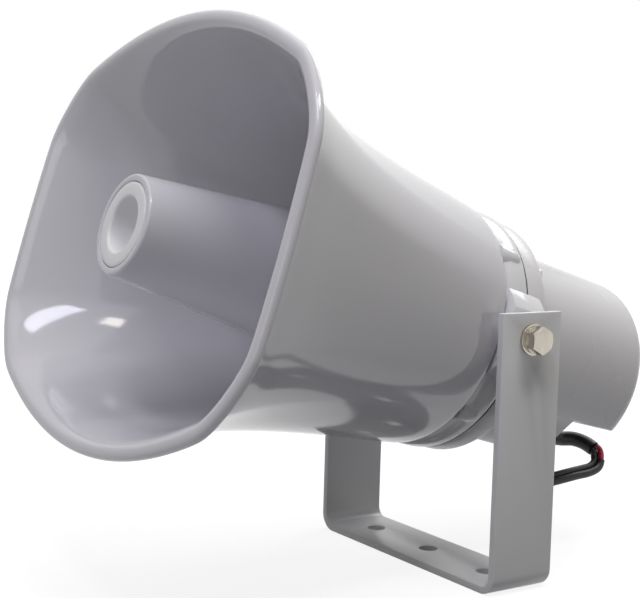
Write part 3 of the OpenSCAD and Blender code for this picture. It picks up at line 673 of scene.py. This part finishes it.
def stage_material(name, colour):
    """A pale floor that shows white where no shadow falls, a little less so near the part."""
    material, tree = new_material(name)
    diffuse = add_node(tree, "ShaderNodeBsdfDiffuse", inputs={"Color": (*colour, 1)})
    rays = add_node(tree, "ShaderNodeLightPath")
    place = add_node(tree, "ShaderNodeTexCoord").outputs["Object"]
    distance = add_node(tree, "ShaderNodeVectorMath", {"operation": "LENGTH"}, links={0: place}).outputs["Value"]
    fade = add_node(tree, "ShaderNodeMapRange", inputs={
        "From Min": 0.3, "From Max": 1.3, "To Min": 0.86, "To Max": 1.0}, links={"Value": distance}).outputs["Result"]
    level = add_node(tree, "ShaderNodeMath", {"operation": "MULTIPLY"}, links={0: seen_directly(tree, rays), 1: fade})
    glow = add_node(tree, "ShaderNodeEmission", inputs={"Color": (1, 1, 1, 1)}, links={"Strength": level.outputs[0]})
    both = add_node(tree, "ShaderNodeAddShader", links={0: diffuse.outputs[0], 1: glow.outputs[0]})
    add_node(tree, "ShaderNodeOutputMaterial", links={"Surface": both.outputs[0]})
    return material


def seen_directly(tree, rays):
    """One where the ray comes from the camera, a gloss or a glass, and else zero."""
    reflected = add_node(tree, "ShaderNodeMath", {"operation": "MAXIMUM"}, links={
        0: rays.outputs["Is Glossy Ray"], 1: rays.outputs["Is Transmission Ray"]})
    return add_node(tree, "ShaderNodeMath", {"operation": "MAXIMUM"}, links={
        0: rays.outputs["Is Camera Ray"], 1: reflected.outputs[0]}).outputs[0]


def white_surround(context):
    """A world that is white to the camera and in gloss and glass, and dim as a light."""
    world = bpy.data.worlds.new("surround")
    context.scene.world = world
    world.use_nodes = True
    tree = world.node_tree
    tree.nodes.clear()
    rays = add_node(tree, "ShaderNodeLightPath")
    seen = seen_directly(tree, rays)
    light = add_node(tree, "ShaderNodeBackground", inputs={"Color": (1, 0.96, 0.78, 1), "Strength": 0.07})
    shown = add_node(tree, "ShaderNodeBackground", inputs={"Color": (1, 1, 1, 1), "Strength": 1.0})
    mix = add_node(tree, "ShaderNodeMixShader", links={0: seen, 1: light.outputs[0], 2: shown.outputs[0]})
    add_node(tree, "ShaderNodeOutputWorld", links={"Surface": mix.outputs[0]})


def add_light(context, name, place, target, size, power, along, colour):
    """Adds a rectangular lamp that faces the target, with its long side near the direction along."""
    data = bpy.data.lights.new(name, "AREA")
    data.shape = "RECTANGLE"
    data.size, data.size_y = size
    data.energy = power
    data.color = colour
    lamp = bpy.data.objects.new(name, data)
    context.scene.collection.objects.link(lamp)
    back = (Vector(place) - Vector(target)).normalized()
    up = back.cross(Vector(along)).normalized()
    turn = Matrix((up.cross(back), up, back)).transposed().to_4x4()
    lamp.matrix_world = Matrix.Translation(place) @ turn
    return lamp


class HORN_PT_panel(bpy.types.Panel):
    """Lists the horn speaker's pieces in making order"""

    bl_label = "Horn speaker"
    bl_idname = "HORN_PT_panel"
    bl_space_type = "VIEW_3D"
    bl_region_type = "UI"
    bl_category = "Horn"

    def draw(self, context):
        for operator in OPERATORS:
            self.layout.operator(operator.bl_idname)
        for group in (context.scene.horn_sizes, context.scene.horn_colours):
            for name in group.__annotations__:
                self.layout.prop(group, name)


OPERATORS = (
    HORN_OT_camera, HORN_OT_lead, HORN_OT_bell, HORN_OT_centre_tube, HORN_OT_mouldings, HORN_OT_bracket,
    HORN_OT_fasteners, HORN_OT_finishes, HORN_OT_stage,
)
CLASSES = (HORN_PG_sizes, HORN_PG_colours) + OPERATORS + (HORN_PT_panel,)


def register():
    for cls in CLASSES:
        bpy.utils.register_class(cls)
    bpy.types.Scene.horn_sizes = PointerProperty(type=HORN_PG_sizes)
    bpy.types.Scene.horn_colours = PointerProperty(type=HORN_PG_colours)


def unregister():
    del bpy.types.Scene.horn_colours
    del bpy.types.Scene.horn_sizes
    for cls in reversed(CLASSES):
        bpy.utils.unregister_class(cls)


def main():
    register()
    bpy.context.scene.view_settings.view_transform = "Standard"
    MATERIALS.update(make_materials(bpy.context.scene.horn_colours))
    for operator in OPERATORS:
        group, name = operator.bl_idname.split(".")
        getattr(getattr(bpy.ops, group), name)()


if __name__ == "__main__":
    main()
